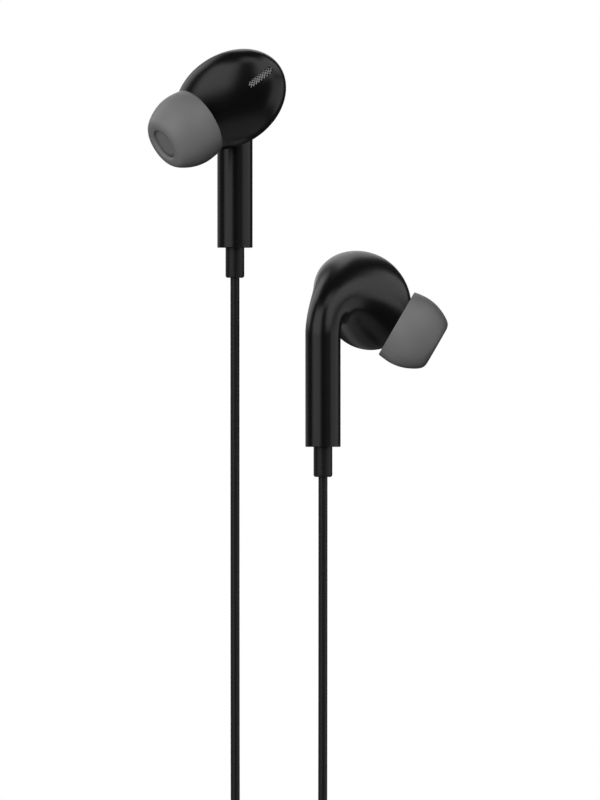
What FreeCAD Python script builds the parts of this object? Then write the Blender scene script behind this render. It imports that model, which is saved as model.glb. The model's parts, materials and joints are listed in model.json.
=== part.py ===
"""Wired in-ear earphones, hanging by their buds as if worn, in millimetres.

The row frame has +X to the right, +Y away from the viewer and +Z up. Its origin
is the middle of the left ear tip's back rim. Each bud is modelled in its own
frame, whose Z axis is the stem's axis and whose zero is the stem's lower end,
and is then turned about Z and set in its place.
"""

import FreeCAD, Part
import math
import os

Vec = FreeCAD.Vector

# Front half of a bulb: a half egg with three half axes, and where it sits
BULB_LONG = 10.25
BULB_MID = 7.78
BULB_THIN = 4.97
BULB_AT = Vec(7.22, 11.1, 24.86)
BULB_AZIMUTH = 51.4
BULB_ELEVATION = -14.8
BULB_ROLL = 33.8
BULB_WALL = 0.9
CAVITY_BANDS = 5

# Stem, and the sweep that carries it back and widens it into the bulb
STEM_R = 3.0
STEM_BORE_R = 1.75
STEM_EDGE = 0.12
STEM_TOP = 18.7
SWEEP_SECTIONS = 8
SWEEP_RISE = 7.85
SWEEP_LANDING = 4.35
SWEEP_EASE = 1.87
SWEEP_GROWTH = 3.83

# Running fit between pieces
FIT = 0.04

# Nozzle, measured from the plane of the ear tip's back rim
TIP_RIM_AT = Vec(5.45, -1.52, -3.93)
TIP_DROP = 30.0
NECK_R = 2.65
NECK_FRONT = 2.5
NECK_SLOPE = 0.3
NECK_BACK = -3.6
NOZZLE_R = 2.35
NOZZLE_BORE_R = 1.55
NOZZLE_FRONT = 5.4
BARB_R = 2.68
BARB_LENGTH = 0.9
BARB_BEHIND_FRONT = 0.35
BARB_RAMP = 0.2
BARB_LAND = 0.2
NOZZLE_EDGE = 0.2
MESH_SEAT_R = 1.9
MESH_THICK = 0.25
FOAM_THICK = 1.2

# Ear tip of soft silicone
TIP_BACK = 0.3
TIP_BACK_R = 6.08
TIP_WIDE_AT = 2.5
TIP_WIDE_R = 6.35
TIP_SHOULDER_AT = 5.6
TIP_SHOULDER_R = 5.35
TIP_LENGTH = 7.7
TIP_FRONT_R = 3.55
TIP_CORNER = 0.9
TIP_SKIN = 0.5
TIP_SHOULDER_WALL = 0.75
TIP_SHOULDER_DEEP = 1.3
TIP_CORE_R = 3.25
TIP_CORE_BACK = 2.7
TIP_BORE_CLEARANCE = 0.07
TIP_MOUTH_R = 2.6
TIP_MOUTH_DEPTH = 0.8
TIP_WEB_BACK = 5.6
TIP_WEB_OUT = 0.8
TIP_WEB_RISE = 0.5
TIP_THROAT_R = 2.0

# Vent slot in the front housing, in the bulb's own face plane
VENT_U = 7.3
VENT_V = 0.62
VENT_FLOOR = 1.0
VENT_LENGTH = 4.5
VENT_WIDTH = 1.15
VENT_DEPTH = 0.35
VENT_MESH_THICK = 0.25

# Loudspeaker, on the bulb's thin axis
FRAME_R = 4.6
FRAME_WALL = 0.5
FRAME_BACK = -1.6
FRAME_FRONT = 1.1
FRAME_FLOOR = 0.35
FRAME_VENTS = 4
YOKE_R = 2.8
FRAME_VENT_RIM = 0.25
FRAME_VENT_R = (FRAME_R - FRAME_WALL - YOKE_R) / 2 - FRAME_VENT_RIM
YOKE_WALL = 0.35
YOKE_HEIGHT = 1.7
YOKE_PROUD = 0.25
MAGNET_R = 1.7
MAGNET_HEIGHT = 0.85
PLATE_R = 1.8
PLATE_HEIGHT = 0.35
COIL_R = 2.15
COIL_WALL = 0.2
COIL_HEIGHT = 1.1
COIL_LIFT = 0.45
SURROUND_ROOM = 0.9
CONE_R = FRAME_R - FRAME_WALL - SURROUND_ROOM
CONE_SKIN = 0.12
CONE_RISE = 0.45
SURROUND_GAP = 0.06
SURROUND_RISE = 0.3
BAFFLE_THICK = 0.7
BOARD_SIZE = Vec(2.6, 1.3, 0.35)
BOARD_REACH = 3.75
BOARD_TURN = 243.0
PAD_R = 0.32
PAD_HEIGHT = 0.12
COVER_THICK = 0.25
COVER_HOLES = 6
COVER_HOLE_R = 0.55
COVER_RING_R = 2.4

# Cable, its strain relief and what holds it in the stem
BRANCH_R = 0.775
MAIN_R = 0.95
RELIEF_R = 1.6
RELIEF_LENGTH = 5.1
RELIEF_PLUG = 4.0
CABLE_IN = 8.0
RELIEF_EDGE = 0.25
LEAD_R = 0.18
LEAD_GAP = 0.35
LEAD_RISE = 12.0
LEAD_BEND_AT = Vec(2.6, 3.9, 24.6)
LEAD_LANDING = 0.4

# Where the two buds hang, and the turn of the left one
LEFT_TURN = -150.0
BUDS_APART = 14.92
RIGHT_LOWER = 33.76

# Put-away cord below the buds
COIL_TOP_LEVEL = -128.5
BRANCH_STEP = 2.35
LEFT_COIL_OUT = 10.9
RIGHT_COIL_OUT = 11.95
BRANCH_LAYERS = (5, 4)
MAIN_STEP = 2.75
MAIN_COIL_OUT = 14.6
MAIN_LAYERS = (6, 6, 6, 5)
CORD_SIDES = 6
TIE_WALL = 0.7
TIE_GAP = 0.3
TIE_WIDTH = 3.0
GAP_PROBE = 1.2

# Splitter
SPLITTER_TOP = -147.0
SPLITTER_LENGTH = 11.0
SPLITTER_TOP_WIDTH = 5.4
SPLITTER_END_WIDTH = 3.2
SPLITTER_DEPTH = 3.2
SPLITTER_EDGE = 0.4
SPLITTER_EDGE_HEIGHT = 0.6
SPLITTER_PITCH = 2.3
LEAD_STRAIGHT_SHARE = 0.3
MAIN_COIL_LEVEL = -162.0

# Plug of 3.5 mm with three contacts
PLUG_TOP = -174.0
PLUG_RELIEF_LENGTH = 9.0
PLUG_RELIEF_TOP_R = 1.4
PLUG_RELIEF_END_R = 2.1
PLUG_RELIEF_RIBS = 4
PLUG_GROOVE_SHARE = 0.4
PLUG_GROOVE_DEPTH = 0.35
GRIP_R = 3.0
GRIP_LENGTH = 15.0
GRIP_EDGE = 0.6
GRIP_HEAD = 3.8
GRIP_SLOPE = 2.2
GRIP_FOOT = 2.2
GRIP_WAIST_DEPTH = 0.35
CONTACT_R = 1.75
SLEEVE_LENGTH = 6.6
SLEEVE_FLANGE_R = 2.4
SLEEVE_FLANGE = 0.5
INSULATOR_LENGTH = 0.6
RING_LENGTH = 2.6
TIP_CYLINDER = 0.5
TIP_NECK_R = 1.2
TIP_NECK_AT = 1.3
TIP_BALL_R = 1.55
TIP_BALL_AT = 2.4
TIP_CONTACT_LENGTH = 3.6
TIP_END_R = 0.7

UP = Vec(0, 0, 1)
DOWN = Vec(0, 0, -1)
ORIGIN = Vec(0, 0, 0)


def unit(azimuth, elevation):
    """A direction from its azimuth and its angle above the horizontal."""
    a, e = math.radians(azimuth), math.radians(elevation)
    return Vec(math.cos(e) * math.cos(a), math.cos(e) * math.sin(a), math.sin(e))


def frame_of(origin, x_dir, z_dir):
    """The placement whose X and Z axes point along two directions."""
    rotation = FreeCAD.Rotation(x_dir, z_dir.cross(x_dir), z_dir, "ZXY")
    return FreeCAD.Placement(origin, rotation)


FACE_N = unit(BULB_AZIMUTH, BULB_ELEVATION)
FACE_FLAT = unit(BULB_AZIMUTH + 90, 0)
FACE_RISE = FACE_N.cross(FACE_FLAT)
FACE_L = (FACE_FLAT * math.cos(math.radians(BULB_ROLL))
          + FACE_RISE * math.sin(math.radians(BULB_ROLL)))
FACE_M = FACE_N.cross(FACE_L)
FACE = frame_of(BULB_AT, FACE_L, FACE_N)
TIP_DIR = unit(0, -TIP_DROP)
TIP_FRAME = frame_of(BULB_AT + TIP_RIM_AT, Vec(0, 1, 0), TIP_DIR)


def set_in(shape, frame):
    """The shape, made about the origin, carried into a frame."""
    moved = shape.copy()
    moved.Placement = frame.multiply(moved.Placement)
    return moved


def rod(radius, low, high):
    """A round bar along Z."""
    return Part.makeCylinder(radius, high - low, Vec(0, 0, low))


def ring(outer, inner, low, high):
    """A round ring along Z."""
    return rod(outer, low, high).cut(rod(inner, low, high))


def spun(points):
    """The solid that a closed outline of (radius, height) pairs sweeps."""
    corners = [Vec(r, 0, z) for r, z in points]
    outline = Part.makePolygon(corners + corners[:1])
    return Part.Face(outline).revolve(ORIGIN, UP, 360)


def arc(a, b, c):
    """An arc edge through three points."""
    return Part.Arc(a, b, c).toShape()


def line(a, b):
    """A straight edge."""
    return Part.LineSegment(a, b).toShape()


# The bud's outer and inner surfaces


def half_egg(inset):
    """The bulb's front half, drawn in by a wall."""
    size = FreeCAD.Matrix()
    size.scale(BULB_LONG - inset, BULB_MID - inset, BULB_THIN - inset)
    half = Part.makeSphere(1.0, ORIGIN, UP, 0, 90, 360)
    return set_in(half.transformGeometry(size), FACE)


def along(ends, share):
    """A point on the curve pulled by four points, and its direction there."""
    rest = 1 - share
    weights = (rest ** 3, 3 * rest ** 2 * share, 3 * rest * share ** 2, share ** 3)
    at = sum((p * w for p, w in zip(ends, weights)), Vec())
    pulls = (rest ** 2, 2 * rest * share, share ** 2)
    way = sum(((q - p) * w for p, q, w in zip(ends, ends[1:], pulls)), Vec())
    return at, way.normalize()


def sweep_ovals(wall_start, wall_end):
    """Ovals that leave the stem, turn back and grow into the bulb's widest one."""
    ends = [UP * STEM_TOP, UP * (STEM_TOP + SWEEP_RISE),
            BULB_AT - FACE_N * SWEEP_LANDING, BULB_AT]
    wires = []
    for i in range(SWEEP_SECTIONS):
        share = i / SWEEP_SECTIONS
        centre, way = along(ends, share)
        grown = (1 - (1 - share) ** SWEEP_EASE) ** SWEEP_GROWTH
        turn = FreeCAD.Rotation(FACE_N, way)
        start = STEM_R - wall_start - (wall_end - wall_start) * share
        wires.append(oval(centre, turn.multVec(FACE_L) * (start + (BULB_LONG - STEM_R) * grown),
                          turn.multVec(FACE_M) * (start + (BULB_MID - STEM_R) * grown)))
    return wires + [egg_oval(wall_end, 0)]


def egg_oval(inset, angle):
    """The egg's oval at an angle above its widest one, drawn in by a wall."""
    centre = BULB_AT + FACE_N * (BULB_THIN - inset) * math.sin(angle)
    return oval(centre, FACE_L * (BULB_LONG - inset) * math.cos(angle),
                FACE_M * (BULB_MID - inset) * math.cos(angle))


def front_hollow(inset):
    """The space inside the half egg, as flat bands."""
    angles = [math.pi / 2 * i / CAVITY_BANDS for i in range(CAVITY_BANDS)]
    return Part.makeLoft([egg_oval(inset, angle) for angle in angles], True, True)


def oval(centre, up, side):
    """An oval wire from its centre and two half axes."""
    n = up.cross(side)
    place = FreeCAD.Matrix(up.x, side.x, n.x, centre.x,
                           up.y, side.y, n.y, centre.y,
                           up.z, side.z, n.z, centre.z,
                           0, 0, 0, 1)
    circle = Part.Circle(ORIGIN, UP, 1.0).toShape()
    return Part.Wire([circle.transformGeometry(place)])


def make_rear_housing():
    """The stem and the sweep, as one wall open at both ends."""
    outer, inner = sweep_ovals(0, 0), sweep_ovals(STEM_R - STEM_BORE_R, BULB_WALL)
    skins = Part.makeLoft(outer, False).Faces + Part.makeLoft(inner, False, True).Faces
    ends = [Part.makeFace([outer[i], inner[i]], "Part::FaceMakerBullseye") for i in (0, -1)]
    wall = Part.makeShell(skins + ends)
    wall.sewShape()
    stem = rod(STEM_R, 0, STEM_TOP)
    low = [e for e in stem.Edges if abs(e.BoundBox.ZMax) < 1e-6 and e.isClosed()]
    stem = stem.makeFillet(STEM_EDGE, low).cut(rod(STEM_BORE_R, -1, STEM_TOP + 1))
    return biggest(Part.makeSolid(wall).fuse(stem))


def make_front_housing():
    """The half egg with the vent slot and the nozzle."""
    hollow = front_hollow(BULB_WALL)
    rear_space = Part.makeLoft(sweep_ovals(STEM_R - STEM_BORE_R, BULB_WALL), True, True)
    nozzle = nozzle_outside().cut(hollow).cut(rear_space)
    bore = set_in(rod(NOZZLE_BORE_R, NECK_BACK, TIP_LENGTH), TIP_FRAME)
    seat = set_in(rod(MESH_SEAT_R, NOZZLE_FRONT - 2 * MESH_THICK, TIP_LENGTH), TIP_FRAME)
    front = half_egg(0).cut(hollow).fuse(nozzle)
    return biggest(front.cut(bore.fuse(seat)).cut(vent_prism()))


def face_slab(low, high, radius=2 * BULB_LONG):
    """A round slab across the bulb's thin axis."""
    return set_in(rod(radius, low, high), FACE)


def vent_prism():
    """The vent slot's outline, through the front wall."""
    half = (VENT_LENGTH - VENT_WIDTH) / 2
    r = VENT_WIDTH / 2
    left, right = VENT_U - half, VENT_U + half
    low, high = VENT_V - r, VENT_V + r
    z = VENT_FLOOR
    edges = [line(Vec(left, low, z), Vec(right, low, z)),
             arc(Vec(right, low, z), Vec(right + r, VENT_V, z), Vec(right, high, z)),
             line(Vec(right, high, z), Vec(left, high, z)),
             arc(Vec(left, high, z), Vec(left - r, VENT_V, z), Vec(left, low, z))]
    face = Part.Face(Part.Wire(edges))
    return set_in(face.extrude(Vec(0, 0, BULB_THIN)), FACE)


def nozzle_outside():
    """Neck, tube and barb of the nozzle."""
    barb_end = NOZZLE_FRONT - BARB_BEHIND_FRONT
    barb_start = barb_end - BARB_LENGTH
    crest = barb_start + BARB_RAMP
    outline = [(0, NECK_BACK), (NECK_R, NECK_BACK), (NECK_R, NECK_FRONT - NECK_SLOPE),
               (NOZZLE_R, NECK_FRONT), (NOZZLE_R, barb_start), (BARB_R, crest),
               (BARB_R, crest + BARB_LAND), (NOZZLE_R, barb_end),
               (NOZZLE_R, NOZZLE_FRONT - NOZZLE_EDGE),
               (NOZZLE_R - NOZZLE_EDGE, NOZZLE_FRONT), (0, NOZZLE_FRONT)]
    return set_in(spun(outline), TIP_FRAME)


def biggest(shape):
    """The largest solid of a shape, without crumbs that a cut leaves."""
    return max(shape.Solids, key=lambda s: s.Volume)


# Small pieces of the shell


def make_vent_mesh():
    """The woven mesh in the vent slot, following the bulb's curve."""
    skin = half_egg(VENT_DEPTH).cut(half_egg(VENT_DEPTH + VENT_MESH_THICK))
    return biggest(skin.common(vent_prism()))


def make_nozzle_mesh():
    """The round mesh in the nozzle's mouth."""
    back = NOZZLE_FRONT - 2 * MESH_THICK
    return set_in(rod(MESH_SEAT_R - FIT / 2, back, back + MESH_THICK), TIP_FRAME)


def make_nozzle_foam():
    """The foam disc behind the mesh."""
    front = NOZZLE_FRONT - 2 * MESH_THICK
    return set_in(rod(NOZZLE_BORE_R - FIT / 2, front - FOAM_THICK, front), TIP_FRAME)


def make_ear_tip():
    """The silicone tip: a thin umbrella turned back over its core tube."""
    bore = BARB_R + TIP_BORE_CLEARANCE
    stop = NOZZLE_FRONT + TIP_BORE_CLEARANCE
    back, wide = Vec(TIP_BACK_R, 0, TIP_BACK), Vec(TIP_WIDE_R, 0, TIP_WIDE_AT)
    shoulder = Vec(TIP_SHOULDER_R, 0, TIP_SHOULDER_AT)
    corners = [(TIP_SHOULDER_R, TIP_SHOULDER_AT), (TIP_FRONT_R + TIP_CORNER, TIP_LENGTH - TIP_CORNER),
               (TIP_FRONT_R, TIP_LENGTH), (TIP_MOUTH_R, TIP_LENGTH),
               (TIP_THROAT_R, TIP_LENGTH - TIP_MOUTH_DEPTH), (TIP_THROAT_R, stop), (bore, stop),
               (bore, TIP_CORE_BACK), (TIP_CORE_R, TIP_CORE_BACK),
               (TIP_CORE_R, TIP_WEB_BACK - TIP_WEB_RISE), (TIP_CORE_R + TIP_WEB_OUT, TIP_WEB_BACK),
               (TIP_SHOULDER_R - TIP_SHOULDER_WALL, TIP_SHOULDER_AT - TIP_SHOULDER_DEEP),
               (TIP_WIDE_R - TIP_SKIN, TIP_WIDE_AT), (TIP_BACK_R - TIP_SKIN, TIP_BACK),
               (TIP_BACK_R, TIP_BACK)]
    edges = [arc(back, wide, shoulder)]
    for (r0, s0), (r1, s1) in zip(corners, corners[1:]):
        edges.append(line(Vec(r0, 0, s0), Vec(r1, 0, s1)))
    face = Part.Face(Part.Wire(edges))
    return set_in(face.revolve(ORIGIN, UP, 360), TIP_FRAME)


# The loudspeaker, made along Z and then set on the bulb's thin axis


def make_driver_frame():
    """The basket: a cup with a hole for the yoke and vents round it."""
    cup = ring(FRAME_R, FRAME_R - FRAME_WALL, FRAME_BACK, FRAME_FRONT)
    floor = ring(FRAME_R, YOKE_R + FIT / 2, FRAME_BACK, FRAME_BACK + FRAME_FLOOR)
    frame = cup.fuse(floor)
    mid = (YOKE_R + FRAME_R - FRAME_WALL) / 2
    for i in range(FRAME_VENTS):
        turn = math.radians(45 + 360 * i / FRAME_VENTS)
        vent = rod(FRAME_VENT_R, FRAME_BACK - 1, FRAME_BACK + 1)
        frame = frame.cut(vent.translated(Vec(math.cos(turn), math.sin(turn), 0) * mid))
    return set_in(frame.removeSplitter(), FACE)


def yoke_back():
    """The height of the yoke's outer floor."""
    return FRAME_BACK - YOKE_PROUD


def magnet_back():
    """The height of the yoke's inner floor, where the magnet stands."""
    return yoke_back() + YOKE_WALL


def make_yoke():
    """The steel cup that carries the magnet."""
    cup = ring(YOKE_R, YOKE_R - YOKE_WALL, yoke_back(), yoke_back() + YOKE_HEIGHT)
    floor = rod(YOKE_R, yoke_back(), magnet_back())
    return set_in(cup.fuse(floor).removeSplitter(), FACE)


def make_magnet():
    """The disc magnet."""
    return set_in(rod(MAGNET_R, magnet_back(), magnet_back() + MAGNET_HEIGHT), FACE)


def make_top_plate():
    """The steel plate on the magnet."""
    low = magnet_back() + MAGNET_HEIGHT
    return set_in(rod(PLATE_R, low, low + PLATE_HEIGHT), FACE)


def coil_top():
    """The height where the voice coil meets the cone."""
    return magnet_back() + COIL_LIFT + COIL_HEIGHT


def make_voice_coil():
    """The coil in the gap between the plate and the yoke."""
    return set_in(ring(COIL_R + COIL_WALL, COIL_R, coil_top() - COIL_HEIGHT, coil_top()), FACE)


def dome(radius, low, rise):
    """The arc of a dome, from its rim to its top."""
    curve = (radius * radius + rise * rise) / (2 * rise)
    half_way = low + rise - curve + math.sqrt(curve * curve - radius * radius / 4)
    return arc(Vec(radius, 0, low), Vec(radius / 2, 0, half_way), Vec(0, 0, low + rise))


def make_cone():
    """The domed cone that the coil drives."""
    low, high = coil_top(), coil_top() + CONE_SKIN
    edge = COIL_R + COIL_WALL
    edges = [dome(COIL_R, low, CONE_RISE),
             line(Vec(0, 0, low + CONE_RISE), Vec(0, 0, high + CONE_RISE)),
             dome(edge, high, CONE_RISE),
             line(Vec(edge, 0, high), Vec(CONE_R, 0, high)),
             line(Vec(CONE_R, 0, high), Vec(CONE_R, 0, low)),
             line(Vec(CONE_R, 0, low), Vec(COIL_R, 0, low))]
    return set_in(Part.Face(Part.Wire(edges)).revolve(ORIGIN, UP, 360), FACE)


def make_surround():
    """The raised rim that guides the cone, glued inside the frame."""
    low, high = coil_top(), coil_top() + CONE_SKIN
    inner, outer = CONE_R + SURROUND_GAP, FRAME_R - FRAME_WALL - FIT / 2
    crown = (inner + outer) / 2
    outline = [(inner, low), (crown, low + SURROUND_RISE), (outer, low), (outer, high),
               (crown, high + SURROUND_RISE), (inner, high)]
    return set_in(spun(outline), FACE)


def make_driver_cover():
    """The perforated disc that guards the cone."""
    cover = rod(FRAME_R, FRAME_FRONT, FRAME_FRONT + COVER_THICK)
    for i in range(COVER_HOLES):
        turn = math.radians(360 * i / COVER_HOLES)
        hole = rod(COVER_HOLE_R, FRAME_FRONT - 1, FRAME_FRONT + 1)
        cover = cover.cut(hole.translated(Vec(math.cos(turn), math.sin(turn), 0) * COVER_RING_R))
    return set_in(cover, FACE)


def make_baffle():
    """The oval plate that parts the front and rear air round the driver."""
    hole = face_slab(-1, BAFFLE_THICK + 1, FRAME_R + FIT / 2)
    plate = front_hollow(BULB_WALL + FIT / 2).common(face_slab(0, BAFFLE_THICK))
    throat = set_in(rod(NECK_R, NECK_BACK, TIP_LENGTH), TIP_FRAME)
    return biggest(plate.cut(hole).cut(throat))


def make_terminal_board():
    """The small circuit board behind the frame's floor, with its solder pads."""
    w, d, t = BOARD_SIZE
    board = Part.makeBox(w, d, t, Vec(-w / 2, -d / 2, -t))
    for side in (-1, 1):
        pad = Part.makeCylinder(PAD_R, PAD_HEIGHT, Vec(side * w / 4, 0, -t - PAD_HEIGHT))
        board = board.fuse(pad)
    turn = FreeCAD.Rotation(UP, BOARD_TURN - 90)
    out = turn.multVec(Vec(0, BOARD_REACH, FRAME_BACK))
    board.Placement = FreeCAD.Placement(out, turn)
    return set_in(board, FACE)


def board_pads():
    """The two points where the leads meet the board, in the bud's frame."""
    turn = FreeCAD.Rotation(UP, BOARD_TURN - 90)
    low = FRAME_BACK - BOARD_SIZE.z - PAD_HEIGHT
    return [FACE.multVec(turn.multVec(Vec(side * BOARD_SIZE.x / 4, BOARD_REACH, low)))
            for side in (-1, 1)]


# Cable pieces of a bud


def make_strain_relief():
    """The round sleeve under the stem, plugged into its bore."""
    plug = STEM_BORE_R - FIT / 2
    outer = spun([(0, -RELIEF_LENGTH), (RELIEF_R - RELIEF_EDGE, -RELIEF_LENGTH),
                  (RELIEF_R, -RELIEF_LENGTH + RELIEF_EDGE), (RELIEF_R, 0), (plug, 0),
                  (plug, RELIEF_PLUG), (0, RELIEF_PLUG)])
    return outer.cut(rod(BRANCH_R + FIT / 2, -RELIEF_LENGTH - 1, RELIEF_PLUG + 1))


def make_cable_end():
    """The cable's last stretch, inside the strain relief and the stem."""
    return rod(BRANCH_R, -RELIEF_LENGTH, CABLE_IN)


def make_leads():
    """The two insulated leads from the cable's end to the board's pads."""
    wires = []
    for side, pad in zip((-1, 1), board_pads()):
        start = Vec(side * LEAD_GAP, 0, CABLE_IN)
        bend_at = LEAD_BEND_AT + Vec(side * LEAD_GAP, 0, 0)
        route = [start, start + UP * LEAD_RISE, bend_at, pad - FACE_N * LEAD_LANDING, pad]
        wires.append(swept(rounded(route), cord_profile(start, UP, LEAD_R)))
    return Part.makeCompound(wires)


# Cords: straight runs joined by tangent arcs


def rounded(points, report=None):
    """A wire along points whose corners are arcs of 0.45 of the shorter run."""
    edges, at = [], points[0]
    for before, here, after in zip(points, points[1:], points[2:]):
        into, out = (here - before), (after - here)
        turn = into.getAngle(out)
        back = 0.45 * min(into.Length, out.Length)
        if report is not None:
            report.append(back / math.tan(turn / 2))
        into.normalize()
        out.normalize()
        a, b = here - into * back, here + out * back
        half = (out - into).normalize()
        radius = back / math.tan(turn / 2)
        centre = here + half * (radius / math.cos(turn / 2))
        edges += [line(at, a), arc(a, centre - half * radius, b)]
        at = b
    return Part.Wire(edges + [line(at, points[-1])])


def swept(path, profile):
    """A profile swept along a wire as one closed solid."""
    solid = path.makePipeShell([profile], True, False)
    return solid if solid.Volume > 0 else solid.reversed()


def cord_profile(start, way, radius):
    """A cord's profile of a few flat sides, across an upright way."""
    across = Vec(1, 0, 0)
    other = way.cross(across)
    turns = [2 * math.pi * i / CORD_SIDES for i in range(CORD_SIDES)]
    corners = [start + across * radius * math.cos(a) + other * radius * math.sin(a) for a in turns]
    return Part.makePolygon(corners + corners[:1])


def biarc(p0, t0, p1, t1):
    """Two arcs from one point and direction to another, with no kink."""
    v, t = p1 - p0, t0 + t1
    a, b, c = t.dot(t) - 4, -2 * v.dot(t), v.dot(v)
    d = (-b - math.sqrt(b * b - 4 * a * c)) / (2 * a)
    q0, q1 = p0 + t0 * d, p1 - t1 * d
    joint = (q0 + q1) / 2
    return [bend(p0, q0, joint), bend(joint, q1, p1)]


def bend(a, corner, b):
    """The arc from a to b that is tangent to both legs of a corner."""
    into, out = (corner - a).normalize(), (b - corner).normalize()
    turn = into.getAngle(out)
    if turn < 1e-4:
        return line(a, b)
    chord_mid = (a + b) / 2
    rise = (corner - chord_mid).normalize() * ((b - a).Length / 2 * math.tan(turn / 4))
    return arc(a, chord_mid + rise, b)


def coil_points(centre, out, step, layers, side):
    """Half-turn points of piled loops that spiral in and out by layers."""
    radius, points = out, [(out, 0)]
    for layer, halves in enumerate(layers):
        if layer:
            points.append((radius, layer))
        for _ in range(halves):
            radius += -step / 2 if layer % 2 == 0 else step / 2
            points.append((radius, layer))
    places = []
    for i, (r, layer) in enumerate(points):
        sign = side if i % 2 == 0 else -side
        places.append((centre + Vec(sign * r, layer * step, 0), DOWN if i % 2 == 0 else UP))
    return places


def coil_path(places, lead):
    """The coil's wire, with a straight stretch of one diameter at each end."""
    first, last = places[0], places[-1]
    edges = [line(first[0] - first[1] * lead, first[0])]
    for (p0, t0), (p1, t1) in zip(places, places[1:]):
        edges += biarc(p0, t0, p1, t1)
    edges.append(line(last[0], last[0] + last[1] * lead))
    return Part.Wire(edges)


def make_coil(places, radius):
    """The wound cord as one unbroken tube, and its path."""
    lead = 2 * radius
    path = coil_path(places, lead)
    first, way = places[0]
    return swept(path, cord_profile(first - way * lead, way, radius)), path


def least_gap(path, radius):
    """The least clear space between a coil's turns, measured on points."""
    points = path.discretize(Distance=GAP_PROBE)
    skip = int(6 * radius / GAP_PROBE) + 2
    near = min((a - b).Length for i, a in enumerate(points) for b in points[i + skip:])
    return near - 2 * radius


def make_tie(centre, places, side, radius):
    """The band round a coil's turns, on the side away from the cord."""
    spots = [place - centre for place, way in places if way is UP]
    room = radius + TIE_GAP
    low, high = -room, max(spot.y for spot in spots) + room
    a = min(abs(spot.x) for spot in spots) - room
    b = max(abs(spot.x) for spot in spots) + room
    x = centre.x - side * (a + b) / 2
    width, depth = b - a, high - low
    hollow = Part.makeBox(width, depth, TIE_WIDTH,
                          Vec(x - width / 2, centre.y + low, centre.z - TIE_WIDTH / 2))
    outside = Part.makeBox(width + 2 * TIE_WALL, depth + 2 * TIE_WALL, TIE_WIDTH,
                           Vec(x - width / 2 - TIE_WALL, centre.y + low - TIE_WALL,
                               centre.z - TIE_WIDTH / 2))
    upright = [e for e in outside.Edges if e.BoundBox.ZLength > TIE_WIDTH / 2]
    return outside.makeFillet(TIE_WALL, upright).cut(hollow)


# Splitter and plug


def stadium(width, depth, z):
    """A flat-sided oval wire across Z."""
    r, half = depth / 2, max((width - depth) / 2, 0.01)
    edges = [line(Vec(-half, -r, z), Vec(half, -r, z)),
             arc(Vec(half, -r, z), Vec(half + r, 0, z), Vec(half, r, z)),
             line(Vec(half, r, z), Vec(-half, r, z)),
             arc(Vec(-half, r, z), Vec(-half - r, 0, z), Vec(-half, -r, z))]
    return Part.Wire(edges)


def make_splitter(x, y):
    """The moulded Y piece where the two branches join the main lead."""
    low = SPLITTER_TOP - SPLITTER_LENGTH
    wide, deep, cut = SPLITTER_TOP_WIDTH, SPLITTER_DEPTH, 2 * SPLITTER_EDGE
    sections = [stadium(wide - cut, deep - cut, SPLITTER_TOP),
                stadium(wide, deep, SPLITTER_TOP - SPLITTER_EDGE_HEIGHT),
                stadium(wide, deep, SPLITTER_TOP - SPLITTER_LENGTH / 2),
                stadium(SPLITTER_END_WIDTH + SPLITTER_EDGE, deep, low + SPLITTER_EDGE_HEIGHT),
                stadium(SPLITTER_END_WIDTH, deep - SPLITTER_EDGE, low)]
    body = Part.makeLoft(sections, True, True)
    return body.translated(Vec(x, y, 0))


def make_plug_relief(at):
    """The ribbed strain relief that tapers up from the grip."""
    low = -PLUG_RELIEF_LENGTH
    pitch = PLUG_RELIEF_LENGTH / (PLUG_RELIEF_RIBS + 1)
    outline = [(0, 0), (PLUG_RELIEF_TOP_R, 0)]
    for i in range(PLUG_RELIEF_RIBS):
        z = -pitch * (i + 1 - PLUG_GROOVE_SHARE)
        end = z - pitch * PLUG_GROOVE_SHARE
        r = PLUG_RELIEF_TOP_R + (PLUG_RELIEF_END_R - PLUG_RELIEF_TOP_R) * -z / PLUG_RELIEF_LENGTH
        outline += [(r, z), (r - PLUG_GROOVE_DEPTH, z), (r - PLUG_GROOVE_DEPTH, end), (r, end)]
    outline += [(PLUG_RELIEF_END_R, low), (0, low)]
    return spun(outline).translated(at)


def make_plug_grip(at):
    """The moulded grip of the plug."""
    low, waist = -GRIP_LENGTH, GRIP_R - GRIP_WAIST_DEPTH
    foot = low + GRIP_FOOT
    outline = [(0, 0), (GRIP_R - GRIP_EDGE, 0), (GRIP_R, -GRIP_EDGE), (GRIP_R, -GRIP_HEAD),
               (waist, -GRIP_HEAD - GRIP_SLOPE), (waist, foot + GRIP_SLOPE), (GRIP_R, foot),
               (GRIP_R, low + GRIP_EDGE / 2), (GRIP_R - GRIP_EDGE / 2, low), (0, low)]
    return spun(outline).translated(at)


def make_contacts(at):
    """Sleeve, ring and tip contacts and the two insulators between them."""
    sleeve_end = -SLEEVE_LENGTH
    ring_start = sleeve_end - INSULATOR_LENGTH
    ring_end = ring_start - RING_LENGTH
    tip_start = ring_end - INSULATOR_LENGTH
    sleeve = rod(CONTACT_R, sleeve_end, 0).fuse(rod(SLEEVE_FLANGE_R, -SLEEVE_FLANGE, 0))
    outline = [(0, tip_start), (CONTACT_R, tip_start), (CONTACT_R, tip_start - TIP_CYLINDER),
               (TIP_NECK_R, tip_start - TIP_NECK_AT), (TIP_BALL_R, tip_start - TIP_BALL_AT),
               (TIP_END_R, tip_start - TIP_CONTACT_LENGTH), (0, tip_start - TIP_CONTACT_LENGTH)]
    pieces = {"plug_sleeve_contact": sleeve.removeSplitter(),
              "plug_ring_contact": rod(CONTACT_R, ring_end, ring_start),
              "plug_tip_contact": spun(outline),
              "plug_insulators": Part.makeCompound([rod(CONTACT_R, ring_start, sleeve_end),
                                                    rod(CONTACT_R, tip_start, ring_end)])}
    return {name: shape.translated(at) for name, shape in pieces.items()}


# Assembly


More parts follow.
